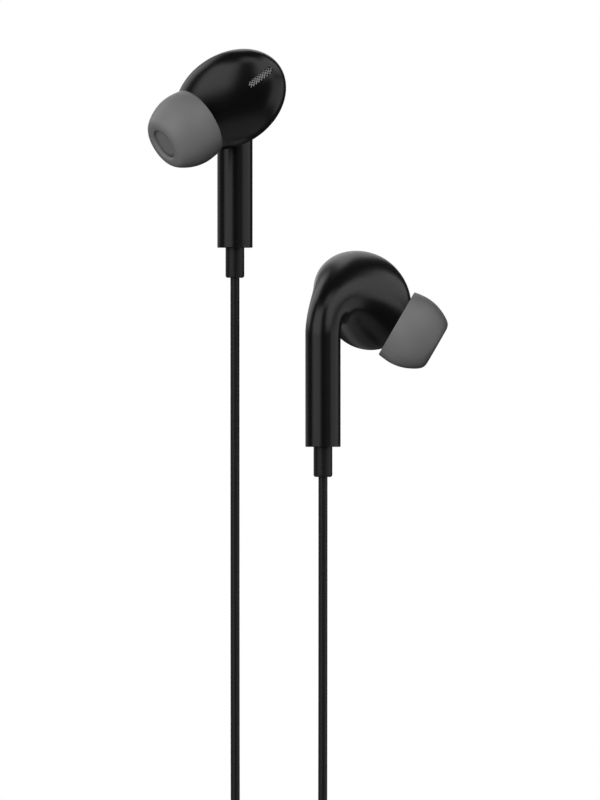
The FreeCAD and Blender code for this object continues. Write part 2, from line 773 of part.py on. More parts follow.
def bud_pieces():
    """Every piece of one bud, in the bud's own frame."""
    return {"rear_housing": make_rear_housing(), "front_housing": make_front_housing(),
            "vent_mesh": make_vent_mesh(),
            "nozzle_mesh": make_nozzle_mesh(), "nozzle_foam": make_nozzle_foam(),
            "ear_tip": make_ear_tip(), "driver_frame": make_driver_frame(), "yoke": make_yoke(),
            "magnet": make_magnet(), "top_plate": make_top_plate(), "voice_coil": make_voice_coil(),
            "cone": make_cone(), "surround": make_surround(), "driver_cover": make_driver_cover(),
            "baffle": make_baffle(), "terminal_board": make_terminal_board(),
            "strain_relief": make_strain_relief(), "cable_end": make_cable_end(),
            "leads": make_leads()}


def bud_places():
    """The placements of the left and right buds in the row frame."""
    turn = FreeCAD.Rotation(UP, LEFT_TURN)
    left = turn.multVec(BULB_AT + TIP_RIM_AT) * -1
    right = left + Vec(BUDS_APART, 0, -RIGHT_LOWER)
    return {"left": FreeCAD.Placement(left, turn),
            "right": FreeCAD.Placement(right, FreeCAD.Rotation())}


def cord_pieces(places):
    """The branches, coils, splitter, main lead, ties and plug."""
    pieces, gaps, ends = {}, {}, {}
    tops = {side: place.Base - UP * RELIEF_LENGTH for side, place in places.items()}
    middle = (tops["left"].x + tops["right"].x) / 2
    outs = {"left": LEFT_COIL_OUT, "right": RIGHT_COIL_OUT}
    lengths = {"left": 0.0, "right": 0.0, "main": 0.0}
    for side, sign in (("left", 1), ("right", -1)):
        top, out = tops[side], outs[side]
        centre = Vec(top.x - sign * out, top.y, COIL_TOP_LEVEL)
        turns = coil_points(centre, out, BRANCH_STEP, BRANCH_LAYERS, sign)
        coil, path = make_coil(turns, BRANCH_R)
        entry = turns[0][0] + UP * 2 * BRANCH_R
        leave = turns[-1][0] + DOWN * 2 * BRANCH_R
        pieces[side + "_branch_cord"] = Part.makeCylinder(BRANCH_R, top.z - entry.z, entry)
        pieces[side + "_branch_coil"] = coil
        pieces[side + "_coil_tie"] = make_tie(centre, turns, sign, BRANCH_R)
        gaps[side] = least_gap(path, BRANCH_R)
        ends[side] = leave
        lengths[side] += top.z - entry.z + path.Length
    y = ends["left"].y
    for side, sign in (("left", -1), ("right", 1)):
        low = Vec(middle + sign * SPLITTER_PITCH / 2, y, SPLITTER_TOP)
        start = ends[side]
        straight = DOWN * (start.z - low.z) * LEAD_STRAIGHT_SHARE
        radii = []
        path = rounded([start, start + straight, low - straight, low], radii)
        pieces[side + "_splitter_lead"] = swept(path, cord_profile(start, DOWN, BRANCH_R))
        lengths[side] += path.Length
        print(side, "splitter lead radii", [round(r, 2) for r in radii])
    pieces["y_splitter"] = make_splitter(middle, y)
    centre = Vec(middle + MAIN_COIL_OUT, y, MAIN_COIL_LEVEL)
    turns = coil_points(centre, MAIN_COIL_OUT, MAIN_STEP, MAIN_LAYERS, -1)
    coil, path = make_coil(turns, MAIN_R)
    entry, leave = turns[0][0] + UP * 2 * MAIN_R, turns[-1][0] + DOWN * 2 * MAIN_R
    splitter_low = SPLITTER_TOP - SPLITTER_LENGTH
    pieces["main_cord"] = Part.makeCylinder(MAIN_R, splitter_low - entry.z, entry)
    pieces["main_coil"] = coil
    pieces["main_coil_tie"] = make_tie(centre, turns, -1, MAIN_R)
    gaps["main"] = least_gap(path, MAIN_R)
    plug_at = Vec(leave.x, leave.y, PLUG_TOP)
    pieces["plug_lead"] = Part.makeCylinder(MAIN_R, leave.z - PLUG_TOP, plug_at)
    lengths["main"] += splitter_low - entry.z + path.Length + leave.z - PLUG_TOP
    pieces["plug_strain_relief"] = make_plug_relief(plug_at)
    grip_at = plug_at + DOWN * PLUG_RELIEF_LENGTH
    pieces["plug_grip"] = make_plug_grip(grip_at)
    pieces.update(make_contacts(grip_at + DOWN * GRIP_LENGTH))
    print("cord lengths", {k: round(v, 1) for k, v in lengths.items()})
    print("least gaps between turns", {k: round(v, 2) for k, v in gaps.items()})
    return pieces


def main():
    """Build every piece and write it to its own file."""
    os.makedirs("parts", exist_ok=True)
    places = bud_places()
    bud = bud_pieces()
    pieces = {side + "_" + name: set_in(shape, place)
              for side, place in places.items() for name, shape in bud.items()}
    pieces.update(cord_pieces(places))
    for name, shape in pieces.items():
        solids = shape.Solids
        if not solids or not shape.isValid():
            raise ValueError(name + " isn't a sound solid")
        shape.exportStep("parts/" + name + ".step")
        print(name, len(solids), round(shape.Volume, 2))


main()
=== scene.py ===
"""Wired in-ear earphones, hanging by their buds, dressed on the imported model.

The frame has +X to the right, +Y away from the camera and +Z up, in metres. The
origin is the middle of the left ear tip's back rim. Sizes are in millimetres, apart
from those that a comment gives in metres, and become metres in a mesh or a curve.
"""

import json
import logging
import math
from dataclasses import dataclass, field
from enum import Enum

import bmesh
import bpy
from mathutils import Matrix, Vector
from mathutils.bvhtree import BVHTree

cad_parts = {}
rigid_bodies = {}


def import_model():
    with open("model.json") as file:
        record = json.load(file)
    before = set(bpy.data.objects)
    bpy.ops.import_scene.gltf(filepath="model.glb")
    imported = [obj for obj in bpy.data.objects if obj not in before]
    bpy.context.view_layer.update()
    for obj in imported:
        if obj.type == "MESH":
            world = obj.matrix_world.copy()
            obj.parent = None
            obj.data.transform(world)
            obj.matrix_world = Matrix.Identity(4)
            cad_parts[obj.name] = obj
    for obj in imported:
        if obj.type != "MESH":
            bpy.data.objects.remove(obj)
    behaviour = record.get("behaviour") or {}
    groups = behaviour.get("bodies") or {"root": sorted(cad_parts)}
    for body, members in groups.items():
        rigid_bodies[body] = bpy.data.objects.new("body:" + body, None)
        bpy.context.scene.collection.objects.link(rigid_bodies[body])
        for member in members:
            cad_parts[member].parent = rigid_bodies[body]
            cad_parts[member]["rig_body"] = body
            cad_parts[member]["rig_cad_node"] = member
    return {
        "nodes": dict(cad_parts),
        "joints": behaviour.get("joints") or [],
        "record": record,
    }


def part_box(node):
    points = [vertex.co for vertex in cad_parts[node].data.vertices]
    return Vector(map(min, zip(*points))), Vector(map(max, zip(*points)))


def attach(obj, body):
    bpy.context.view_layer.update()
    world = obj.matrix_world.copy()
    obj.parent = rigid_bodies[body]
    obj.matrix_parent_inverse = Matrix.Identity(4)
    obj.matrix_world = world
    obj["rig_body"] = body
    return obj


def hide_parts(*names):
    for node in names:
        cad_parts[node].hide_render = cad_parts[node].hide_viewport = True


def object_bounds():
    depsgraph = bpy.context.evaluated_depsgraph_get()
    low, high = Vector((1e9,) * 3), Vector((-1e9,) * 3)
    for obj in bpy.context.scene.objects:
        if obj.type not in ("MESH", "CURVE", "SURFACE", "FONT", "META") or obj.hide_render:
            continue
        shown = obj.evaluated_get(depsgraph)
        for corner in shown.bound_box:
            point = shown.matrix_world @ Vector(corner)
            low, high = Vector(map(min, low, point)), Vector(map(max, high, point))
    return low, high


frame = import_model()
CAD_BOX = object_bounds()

MM = 0.001
ROOT_BODY = "earphones"
SIDES = ("left", "right")
NODES = frame["nodes"]
LOG = logging.getLogger("earphones")

# A Wave texture's bands lie this far apart at a scale of one
WAVE_BAND = 0.314
# The broad patches that vary a finish are about this wide
PATCH_MM = 6.25
# Turned and brushed lines lie level and are twelve times as long as they are wide
BRUSH_STRETCH = (1, 1, 12)
# The Mix node's sockets for its two colours and for what comes out
MIX_A, MIX_B, MIX_RESULT = 6, 7, 2
# Points of a mesh that lie this close together are one
WELD_MM = 0.002


class Pattern(Enum):
    """How the fine pattern of a finish runs."""

    GRAIN = "moulded grain"
    WEAVE = "woven wire"
    BRUSHED = "turned or brushed lines"
    CELLS = "open foam cells"


def linear(hex_colour: str) -> tuple[float, float, float, float]:
    """Turns an sRGB hex colour into the linear one that shaders take.

    Args:
        hex_colour: The colour as six hex digits.

    Returns:
        Red, green, blue and an alpha of one.
    """
    channels = [int(hex_colour[i:i + 2], 16) / 255 for i in (0, 2, 4)]
    light = [c / 12.92 if c <= 0.04045 else ((c + 0.055) / 1.055) ** 2.4 for c in channels]
    return (light[0], light[1], light[2], 1.0)


def add_node(tree: bpy.types.NodeTree, kind: str, options: dict | None = None,
             values: dict | None = None, links: dict | None = None) -> bpy.types.Node:
    """Adds a shader node with its settings and its incoming links.

    Args:
        tree: The node tree it goes into.
        kind: The node's type name.
        options: Attributes of the node.
        values: Input sockets and their constants.
        links: Input sockets and the output sockets that feed them.

    Returns:
        The new node.
    """
    node = tree.nodes.new(kind)
    for name, value in (options or {}).items():
        setattr(node, name, value)
    for name, value in (values or {}).items():
        node.inputs[name].default_value = value
    for name, source in (links or {}).items():
        tree.links.new(source, node.inputs[name])
    return node


@dataclass(frozen=True)
class Finish:
    """A surface: what it is made of, how it was made and what that gives the eye."""

    name: str
    slot: str
    colour: str
    colour_worn: str
    roughness: float
    grain_mm: float
    grain_depth_mm: float
    pattern: Pattern = Pattern.GRAIN
    roughness_spread: float = 0.06
    metallic: float = 0.0
    ior: float = 1.5
    subsurface: float = 0.0

    def height(self, tree: bpy.types.NodeTree, place: bpy.types.NodeSocket) -> bpy.types.NodeSocket:
        """Draws the pattern's height over the surface.

        Args:
            tree: The material's node tree.
            place: The coordinates that the pattern reads.

        Returns:
            The height, from zero to one.
        """
        per_metre = 1 / (self.grain_mm * MM)
        if self.pattern is Pattern.WEAVE:
            waves = [add_node(tree, "ShaderNodeTexWave",
                              {"wave_type": "BANDS", "bands_direction": axis},
                              {"Scale": per_metre * WAVE_BAND, "Distortion": 0.0},
                              {"Vector": place}).outputs["Fac"] for axis in ("X", "Y")]
            both = add_node(tree, "ShaderNodeMath", {"operation": "MULTIPLY"},
                            links={0: waves[0], 1: waves[1]})
            return both.outputs[0]
        if self.pattern is Pattern.BRUSHED:
            stretched = add_node(tree, "ShaderNodeMapping", values={"Scale": BRUSH_STRETCH},
                                 links={"Vector": place})
            place = stretched.outputs["Vector"]
        if self.pattern is Pattern.CELLS:
            cells = add_node(tree, "ShaderNodeTexVoronoi", values={"Scale": per_metre},
                             links={"Vector": place})
            return cells.outputs["Distance"]
        noise = add_node(tree, "ShaderNodeTexNoise", values={"Scale": per_metre, "Detail": 3.0},
                         links={"Vector": place})
        return noise.outputs["Fac"]

    def place(self, tree: bpy.types.NodeTree) -> bpy.types.NodeSocket:
        """The coordinates that the pattern reads."""
        return add_node(tree, "ShaderNodeTexCoord").outputs["Object"]

    def build(self) -> bpy.types.Material:
        """Makes the material once and gives it back on later calls.

        Returns:
            The material.
        """
        known = bpy.data.materials.get(self.name)
        if known:
            return known
        material = bpy.data.materials.new(self.name)
        material.use_nodes = True
        tree = material.node_tree
        tree.nodes.clear()
        place = self.place(tree)
        height = self.height(tree, place)
        broad = add_node(tree, "ShaderNodeTexNoise",
                         values={"Scale": 1 / (PATCH_MM * MM), "Detail": 2.0},
                         links={"Vector": place})
        share = add_node(tree, "ShaderNodeMath", {"operation": "MULTIPLY"},
                         links={0: height, 1: broad.outputs["Fac"]})
        colour = add_node(tree, "ShaderNodeMix", {"data_type": "RGBA"},
                          {MIX_A: linear(self.colour), MIX_B: linear(self.colour_worn)},
                          {0: share.outputs[0]})
        rough = add_node(tree, "ShaderNodeMapRange",
                         values={"To Min": self.roughness - self.roughness_spread / 2,
                                 "To Max": self.roughness + self.roughness_spread / 2},
                         links={"Value": broad.outputs["Fac"]})
        bump = add_node(tree, "ShaderNodeBump",
                        values={"Strength": 1.0, "Distance": self.grain_depth_mm * MM},
                        links={"Height": height})
        shader = add_node(tree, "ShaderNodeBsdfPrincipled",
                          values={"Metallic": self.metallic, "IOR": self.ior,
                                  "Subsurface Weight": self.subsurface,
                                  "Subsurface Radius": (1.0, 1.0, 1.0),
                                  "Subsurface Scale": MM},
                          links={"Base Color": colour.outputs[MIX_RESULT],
                                 "Roughness": rough.outputs["Result"],
                                 "Normal": bump.outputs["Normal"]})
        add_node(tree, "ShaderNodeOutputMaterial", links={"Surface": shader.outputs[0]})
        return material


# Polished ABS from a polished mould: black, with a clear soft-edged shine
SHELL = Finish("Moulded ABS polished black", "gloss_shell", "060607", "0B0B0C", 0.26, 0.35, 0.0003,
               roughness_spread=0.05, ior=1.54)
# Silicone rubber from a fine eroded mould: grey right through, satin, a little light inside
SILICONE = Finish("Liquid silicone rubber grey", "silicone", "848485", "929293", 0.42, 0.12, 0.0008,
                  ior=1.41, subsurface=0.08)
# Woven stainless wire, drawn twice as coarse as it is so that its holes show
WIRE = Finish("Woven stainless steel wire", "steel_mesh", "4A4A49", "C8C8C2", 0.4, 0.28, 0.03,
              Pattern.WEAVE, metallic=0.5)
# Bright drawn wire, drawn twice as thick as it is so that its holes show
DRAWN_WIRE = Finish("Drawn stainless steel wire", "steel_mesh", "ACACAC", "CCCCCC", 0.4, 0.1, 0.0005,
                    metallic=0.35)
# Punched stainless sheet: bright, its shine drawn out along fine rolled lines
PUNCHED = Finish("Punched stainless steel", "steel_mesh", "8C8C88", "A6A6A1", 0.32, 0.08, 0.001,
                 Pattern.BRUSHED, metallic=1.0)
# Open cells that swallow the light: nearly black and without shine
FOAM = Finish("Open cell polyurethane foam", "foam", "101010", "1E1E1E", 0.95, 0.25, 0.08,
              Pattern.CELLS)
# Fine grey foam, pressed smooth: matt, a shade darker than the silicone
GUARD = Finish("Open cell foam disc grey", "foam", "7A7A7A", "888888", 0.8, 0.12, 0.01, Pattern.CELLS)
# Thermoplastic elastomer over copper: satin black with a fine pressed skin
JACKET = Finish("Extruded elastomer jacket", "cord_jacket", "0C0C0D", "131314", 0.4, 0.2, 0.002,
                ior=1.48)
# The cord's elastomer out of a mould: satin black, a little smoother
SOFT_MOULDING = Finish("Moulded elastomer satin black", "soft_relief", "0A0A0B", "121213", 0.38, 0.15,
                       0.002, ior=1.48)
# Polycarbonate from an eroded mould: very dark grey and matt
FRAME_PLASTIC = Finish("Moulded polycarbonate matt", "frame_plastic", "1C1C1D", "262627", 0.55, 0.15,
                       0.002)
# Turned steel under zinc: plain grey with a bright line where the light falls
STEEL = Finish("Zinc plated steel", "plated_steel", "9C9C98", "B4B4AF", 0.3, 0.1, 0.001,
               Pattern.BRUSHED, metallic=1.0)
# Nickel on a pressed and ground magnet: bright, smooth and slightly warm
NICKEL = Finish("Nickel plated magnet", "magnet", "B0AEA8", "C2C0BA", 0.22, 0.1, 0.0006,
                metallic=1.0)
# Enamelled wire laid turn by turn: copper's warm shine in fine lines
COPPER = Finish("Enamelled copper winding", "copper", "8E4A26", "B06638", 0.3, 0.08, 0.01,
                Pattern.BRUSHED, metallic=1.0)
# Hot pressed film: smooth and glossy, a pale grey brown
FILM = Finish("Thermoformed polymer film", "film", "8A8474", "A59E8C", 0.2, 0.3, 0.001, ior=1.57)
# Solder mask over glass cloth: dark green with a soft shine
BOARD = Finish("Solder masked glass laminate", "board", "0E3A1E", "18522C", 0.4, 0.2, 0.004)
# Drawn wire dipped in enamel: dark red with a soft shine
ENAMEL = Finish("Enamelled lead wire", "lead_jacket", "7A1E16", "92301F", 0.35, 0.2, 0.002)
# Rolled and cut band: plain dark grey, nearly matt
BAND = Finish("Rolled polymer band", "tie", "141414", "1E1E1E", 0.5, 0.2, 0.003)
# Turned brass under a flash of gold: pale yellow, with a sharp shine round it
CONTACT = Finish("Gold flashed brass contact", "contact_metal", "C9AE73", "D8C08A", 0.16, 0.1,
                 0.0005, Pattern.BRUSHED, metallic=1.0)
# Moulded polyamide: plain black with a dull shine
INSULATOR = Finish("Moulded polyamide insulator", "insulator", "111111", "191919", 0.5, 0.15, 0.002)

CAD_FINISHES = {
    "nozzle_mesh": WIRE, "nozzle_foam": FOAM, "driver_frame": FRAME_PLASTIC,
    "yoke": STEEL, "magnet": NICKEL, "top_plate": STEEL, "voice_coil": COPPER, "cone": FILM,
    "surround": FILM, "driver_cover": PUNCHED, "baffle": FRAME_PLASTIC, "terminal_board": BOARD,
    "coil_tie": BAND,
}
PLUG_FINISHES = {
    "plug_strain_relief": SOFT_MOULDING, "plug_grip": SOFT_MOULDING,
    "plug_sleeve_contact": CONTACT, "plug_ring_contact": CONTACT, "plug_tip_contact": CONTACT,
    "plug_insulators": INSULATOR, "y_splitter": SOFT_MOULDING, "main_coil_tie": BAND,
}


def dress(piece: bpy.types.Object, finish: Finish) -> None:
    """Gives a piece its material.

    Args:
        piece: The object.
        finish: What it is made of.
    """
    piece.data.materials.clear()
    piece.data.materials.append(finish.build())


def link(name: str, data: bpy.types.ID) -> bpy.types.Object:
    """Puts a mesh, a curve, a lamp or a camera into the scene at the origin.

    Args:
        name: The object's name.
        data: What it shows.

    Returns:
        The new object.
    """
    piece = bpy.data.objects.new(name, data)
    bpy.context.scene.collection.objects.link(piece)
    return piece


def body_of_node(node: str) -> str:
    """The body that carries a CAD node."""
    return NODES[node]["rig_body"]


def smooth_copy(node: str, name: str, finish: Finish, sharp_degrees: float = 38.0) -> bpy.types.Object:
    """A merged and smoothly shaded copy that stands for a rigid CAD node.

    Args:
        node: The CAD node.
        name: The new piece's name.
        finish: What it is made of.
        sharp_degrees: Edges that bend more than this stay crisp.

    Returns:
        The new piece, which rides with the node's body.
    """
    mesh = NODES[node].data.copy()
    mesh.name = name
    shape = bmesh.new()
    shape.from_mesh(mesh)
    bmesh.ops.remove_doubles(shape, verts=shape.verts, dist=WELD_MM * MM)
    limit = math.radians(sharp_degrees)
    for face in shape.faces:
        face.smooth = True
    for edge in shape.edges:
        edge.smooth = not edge.is_manifold or edge.calc_face_angle(0.0) < limit
    shape.to_mesh(mesh)
    shape.free()
    piece = link(name, mesh)
    even = piece.modifiers.new("even shading", "WEIGHTED_NORMAL")
    even.mode = "FACE_AREA_WITH_ANGLE"
    even.keep_sharp = True
    dress(piece, finish)
    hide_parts(node)
    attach(piece, body_of_node(node))
    return piece


def round_line(name: str, diameter: float, routes: list[list[Vector]], round_steps: int,
               along_steps: int) -> bpy.types.Object:
    """Draws cords or wires with a round section, one smooth NURBS line along each route.

    Args:
        name: The new piece's name.
        diameter: How thick they are.
        routes: The control points of each, in metres.
        round_steps: How finely the section is rounded.
        along_steps: How finely each stretch of a line is divided.

    Returns:
        One curve object with all of them.
    """
    curve = bpy.data.curves.new(name, "CURVE")
    curve.dimensions = "3D"
    curve.bevel_depth = diameter * MM / 2
    curve.bevel_resolution = round_steps
    curve.resolution_u = along_steps
    curve.use_fill_caps = True
    for route in routes:
        spline = curve.splines.new("NURBS")
        spline.points.add(len(route) - 1)
        for point, place in zip(spline.points, route):
            point.co = (*place, 1.0)
        spline.order_u = 3
        spline.use_endpoint_u = True
        spline.use_smooth = True
    return link(name, curve)


@dataclass
class EarTip:
    """The silicone tip: an umbrella skirt turned back over its core tube."""

    side: str
    # The skirt, from its back rim over its widest place to the front
    back_r: float = 6.1
    back_at: float = -0.16
    wide_r: float = 6.42
    wide_at: float = 2.4
    flare: float = 0.08
    dome: tuple[tuple[float, float], ...] = ((6.22, 4.0), (5.66, 5.5), (4.95, 6.8), (4.25, 7.62))
    front_r: float = 3.3
    front_crown: float = 0.08
    length: float = 7.7
    # The mouth, its dish and the foam disc in it
    mouth_r: float = 2.68
    mouth_depth: float = 0.3
    dish_r: float = 2.62
    dish_floor: float = 6.1
    dish_edge: float = 0.15
    guard_top: float = 7.15
    guard_crown: float = 0.12
    guard_rings: int = 3
    guard_steps: int = 48
    # The core tube on the nozzle, with its stop and the root that joins it to the skirt
    throat_r: float = 2.0
    bore_r: float = 2.72
    stop_at: float = 5.5
    core_r: float = 3.25
    core_back: float = 2.7
    root: float = 0.7
    # The skirt's inside, and how the cage goes round the soft edges
    skin: float = 0.5
    lining: tuple[tuple[float, float], ...] = ((4.7, 4.9), (5.5, 3.6))
    lining_end: float = 0.25
    corner: float = 0.2
    rim_roll: tuple[tuple[float, float], ...] = ((-0.14, -0.03), (0.0, 0.0), (0.06, 0.16))
    lip_roll: tuple[tuple[float, float], ...] = ((0.2, 0.02), (0.0, -0.08))
    spin_steps: int = 96

    def profile(self) -> list[tuple[float, float]]:
        """Draws the cage of the tip's wall, which the subdivision rounds.

        Returns:
            Radius and distance along the nozzle of each point, from the back rim over the
            front, down the bore and back along the lining.
        """
        return [
            *((self.back_r + out, self.back_at + along) for out, along in self.rim_roll),
            (self.wide_r - self.flare, self.wide_at / 2), (self.wide_r, self.wide_at),
            *self.dome, (self.front_r, self.length + self.front_crown),
            *((self.mouth_r + out, self.length + along) for out, along in self.lip_roll),
            (self.dish_r, self.length - self.mouth_depth), (self.dish_r, self.dish_floor),
            (self.throat_r, self.dish_floor - self.dish_edge),
            (self.throat_r, self.stop_at + self.corner), (self.bore_r, self.stop_at),
            (self.bore_r, self.core_back + self.corner),
            (self.bore_r + self.corner, self.core_back),
            (self.core_r, self.core_back + self.corner / 2),
            (self.core_r, self.stop_at - 2 * self.corner),
            (self.core_r + self.root, self.stop_at + self.corner),
            *self.lining, (self.wide_r - self.skin, self.wide_at),
            (self.back_r - self.corner, self.back_at + self.lining_end),
        ]

    def place(self) -> Matrix:
        """Finds the tip's place on the bud from its joint and its mount.

        Returns:
            The matrix from the tip's own axis, with its rim at zero, to the part's.
        """
        axis = next(Vector(j["axis"]) for j in frame["joints"] if j["name"] == self.side + "_tip_slide")
        centre = next(Vector(m["pos_m"]) for m in frame["record"]["mounts"]
                      if m["name"] == self.side + "_ear")
        return Matrix.Translation(centre) @ axis.to_track_quat("Z", "Y").to_matrix().to_4x4()

    def guard(self) -> bpy.types.Object:
        """Makes the grey foam disc in the tip's mouth, as shallow as the photograph shows it.

        Returns:
            The disc, which rides with the tip.
        """
        shape = bmesh.new()
        bmesh.ops.create_circle(shape, cap_ends=True, segments=self.guard_steps,
                                radius=self.dish_r * MM)
        raised = bmesh.ops.extrude_face_region(shape, geom=shape.faces[:])["geom"]
        rim = [v for v in raised if isinstance(v, bmesh.types.BMVert)]
        lid = [f for f in raised if isinstance(f, bmesh.types.BMFace)]
        bmesh.ops.translate(shape, vec=(0, 0, (self.guard_top - self.dish_floor) * MM), verts=rim)
        for ring in range(self.guard_rings):
            bmesh.ops.inset_region(shape, faces=lid,
                                   thickness=self.dish_r * MM / (self.guard_rings + 1),
                                   depth=self.guard_crown * MM / (self.guard_rings + 2 * ring))
        bmesh.ops.recalc_face_normals(shape, faces=shape.faces)
        bmesh.ops.translate(shape, vec=(0, 0, self.dish_floor * MM), verts=shape.verts)
        bmesh.ops.transform(shape, matrix=self.place(), verts=shape.verts)
        mesh = bpy.data.meshes.new(self.side + "_foam_guard")
        shape.to_mesh(mesh)
        shape.free()
        mesh.shade_smooth()
        piece = link(mesh.name, mesh)
        dress(piece, GUARD)
        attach(piece, self.side + "_tip")
        return piece

    def build(self) -> list[bpy.types.Object]:
        """Spins the wall round the nozzle's axis and sets it in its place.

        Returns:
            The tip and the foam disc in its mouth.
        """
        shape = bmesh.new()
        points = [shape.verts.new((r * MM, 0.0, s * MM)) for r, s in self.profile()]
        loop = [shape.edges.new(pair) for pair in zip(points, points[1:] + points[:1])]
        bmesh.ops.spin(shape, geom=points + loop, cent=(0, 0, 0), axis=(0, 0, 1),
                       angle=2 * math.pi, steps=self.spin_steps, use_merge=True)
        bmesh.ops.remove_doubles(shape, verts=shape.verts, dist=WELD_MM * MM)
        bmesh.ops.recalc_face_normals(shape, faces=shape.faces)
        bmesh.ops.transform(shape, matrix=self.place(), verts=shape.verts)
        mesh = bpy.data.meshes.new(self.side + "_silicone_tip")
        shape.to_mesh(mesh)
        shape.free()
        mesh.shade_smooth()
        piece = link(mesh.name, mesh)
        rounding = piece.modifiers.new("rounding", "SUBSURF")
        rounding.levels = rounding.render_levels = 2
        dress(piece, SILICONE)
        # The photograph's polished bulb doesn't mirror the tip
        piece.visible_glossy = False
        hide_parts(self.side + "_ear_tip")
        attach(piece, self.side + "_tip")
        return [piece, self.guard()]


@dataclass
class Screen:
    """The screen in the vent's slot, woven wire by wire along the slot's curved floor."""

    side: str
    pitch: float = 0.36
    wire_d: float = 0.17
    sunk: float = 0.12
    reach: int = 8
    clear: float = 5.0
    round_steps: int = 2
    along_steps: int = 4

    def axes(self, points: list[Vector]) -> tuple[Vector, Vector, Vector]:
        """Reads how the slot lies.

        Args:
            points: The corners of the slot's CAD screen.

        Returns:
            The slot's middle, its long way and the bulb's outward way there.
        """
        out = next(Vector(j["axis"]) for j in frame["joints"]
                   if j["name"] == self.side + "_diaphragm_slide").normalized()
        first = max(points, key=lambda c: (c - points[0]).length)
        last = max(points, key=lambda c: (c - first).length)
        long = last - first
        return (first + last) / 2, (long - out * long.dot(out)).normalized(), out

    def routes(self) -> list[list[Vector]]:
        """Leads both ways of wire over and under each other, as far as the slot goes.

        Returns:
            The control points of each wire.
        """
        mesh = NODES[self.side + "_vent_mesh"].data
        points = [v.co.copy() for v in mesh.vertices]
        floor = BVHTree.FromPolygons(points, [tuple(f.vertices) for f in mesh.polygons])
        middle, long, out = self.axes(points)
        across = out.cross(long)
        ways = ((long + across).normalized(), (long - across).normalized())
        steps = range(-self.reach, self.reach + 1)
        routes = []
        for turn, (way, other) in enumerate((ways, ways[::-1])):
            for line in steps:
                route = []
                for step in steps:
                    start = (middle + (way * step + other * line) * self.pitch * MM
                             + out * self.clear * MM)
                    place, normal, _, _ = floor.ray_cast(start, -out)
                    if place:
                        rise = (-1) ** (step + line + turn) * self.wire_d - self.sunk
                        route.append(place + normal * rise * MM)
                if len(route) > 1:
                    end = way * self.pitch / 2 * MM
                    routes.append([route[0] - end, *route, route[-1] + end])
        return routes

    def build(self) -> bpy.types.Object:
        """Makes the screen's wires, which stand for its CAD plate.

        Returns:
            The screen as one curve.
        """
        piece = round_line(self.side + "_woven_vent", self.wire_d, self.routes(),
                           self.round_steps, self.along_steps)
        dress(piece, DRAWN_WIRE)
        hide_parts(self.side + "_vent_mesh")
        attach(piece, ROOT_BODY)
        return piece


@dataclass
class Shell:
    """The two halves of a bud's housing and the sleeve under its stem."""

    side: str

    def build(self) -> list[bpy.types.Object]:
        """Makes the shells and the sleeve, smoothly shaded.

        Returns:
            The three pieces.
        """
        made = [smooth_copy(f"{self.side}_{half}_housing", f"{self.side}_{half}_shell", SHELL)
                for half in ("rear", "front")]
        made.append(smooth_copy(self.side + "_strain_relief", self.side + "_stem_sleeve",
                                SOFT_MOULDING))
        return made


@dataclass
class Inside:
    """The loudspeaker and the small pieces behind the vent and the nozzle."""

    side: str

    def build(self) -> list[bpy.types.Object]:
        """Gives each CAD node of the bud that stays its own finish.

        Returns:
            The nodes.
        """
        made = []
        for part, finish in CAD_FINISHES.items():
            node = NODES[f"{self.side}_{part}"]
            dress(node, finish)
            made.append(node)
        return made


@dataclass
class Winding:
    """A put-away coil: half turns that spiral in and out, layer by layer."""

    centre: Vector
    out_r: float
    step: float
    layers: tuple[int, ...]
    side: int
    points_per_half: int = 8

    def half_turns(self) -> list[tuple[float, int]]:
        """Counts the spiral off, layer by layer.

        Returns:
            Radius and layer at each half turn.
        """
        radius, marks = self.out_r, [(self.out_r, 0)]
        for layer, halves in enumerate(self.layers):
            if layer:
                marks.append((radius, layer))
            for _ in range(halves):
                radius += -self.step / 2 if layer % 2 == 0 else self.step / 2
                marks.append((radius, layer))
        return marks

    def points(self) -> list[Vector]:
        """Lays the control points evenly round each half turn.

        Returns:
            The points, in metres.
        """
        marks = self.half_turns()
        # The line touches the sides between its control points, so these stand further out
        swell = 1 / math.cos(math.pi / (2 * self.points_per_half))
        places = []
        for i, ((r0, l0), (r1, l1)) in enumerate(zip(marks, marks[1:])):
            way = self.side if i % 2 == 0 else -self.side
            fall = -1 if i % 2 == 0 else 1
            for k in range(self.points_per_half):
                share = k / self.points_per_half
                turn = math.pi * share
                radius = (r0 + r1) / 2 * swell
                places.append(self.centre + Vector((
                    way * ((r0 - r1) / 2 + radius * math.cos(turn)),
                    (l0 + (l1 - l0) * share) * self.step,
                    fall * radius * math.sin(turn))) * MM)
        return places

    def end(self) -> Vector:
        """Where the cord leaves the coil, heading down."""
        radius, layer = self.half_turns()[-1]
        return self.centre + Vector((self.side * radius, layer * self.step, 0)) * MM


@dataclass
class Cord:
    """A free cord as one smooth NURBS line with a round section."""

    name: str
    diameter: float
    route: list[Vector]
    round_steps: int = 5
    along_steps: int = 8

    def build(self, replaced: tuple[str, ...]) -> bpy.types.Object:
        """Makes the cord's curve, which stands for its CAD solids.

        Args:
            replaced: The CAD nodes of the cord.

        Returns:
            The curve object.
        """
        piece = round_line(self.name, self.diameter, [self.route], self.round_steps,
                           self.along_steps)
        dress(piece, JACKET)
        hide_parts(*replaced)
        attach(piece, ROOT_BODY)
        return piece


def foot_of(node: str) -> Vector:
    """The middle of a CAD node's lower end."""
    low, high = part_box(node)
    return Vector(((low.x + high.x) / 2, (low.y + high.y) / 2, low.z))


def head_of(node: str) -> Vector:
    """The middle of a CAD node's upper end."""
    low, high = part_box(node)
    return Vector(((low.x + high.x) / 2, (low.y + high.y) / 2, high.z))


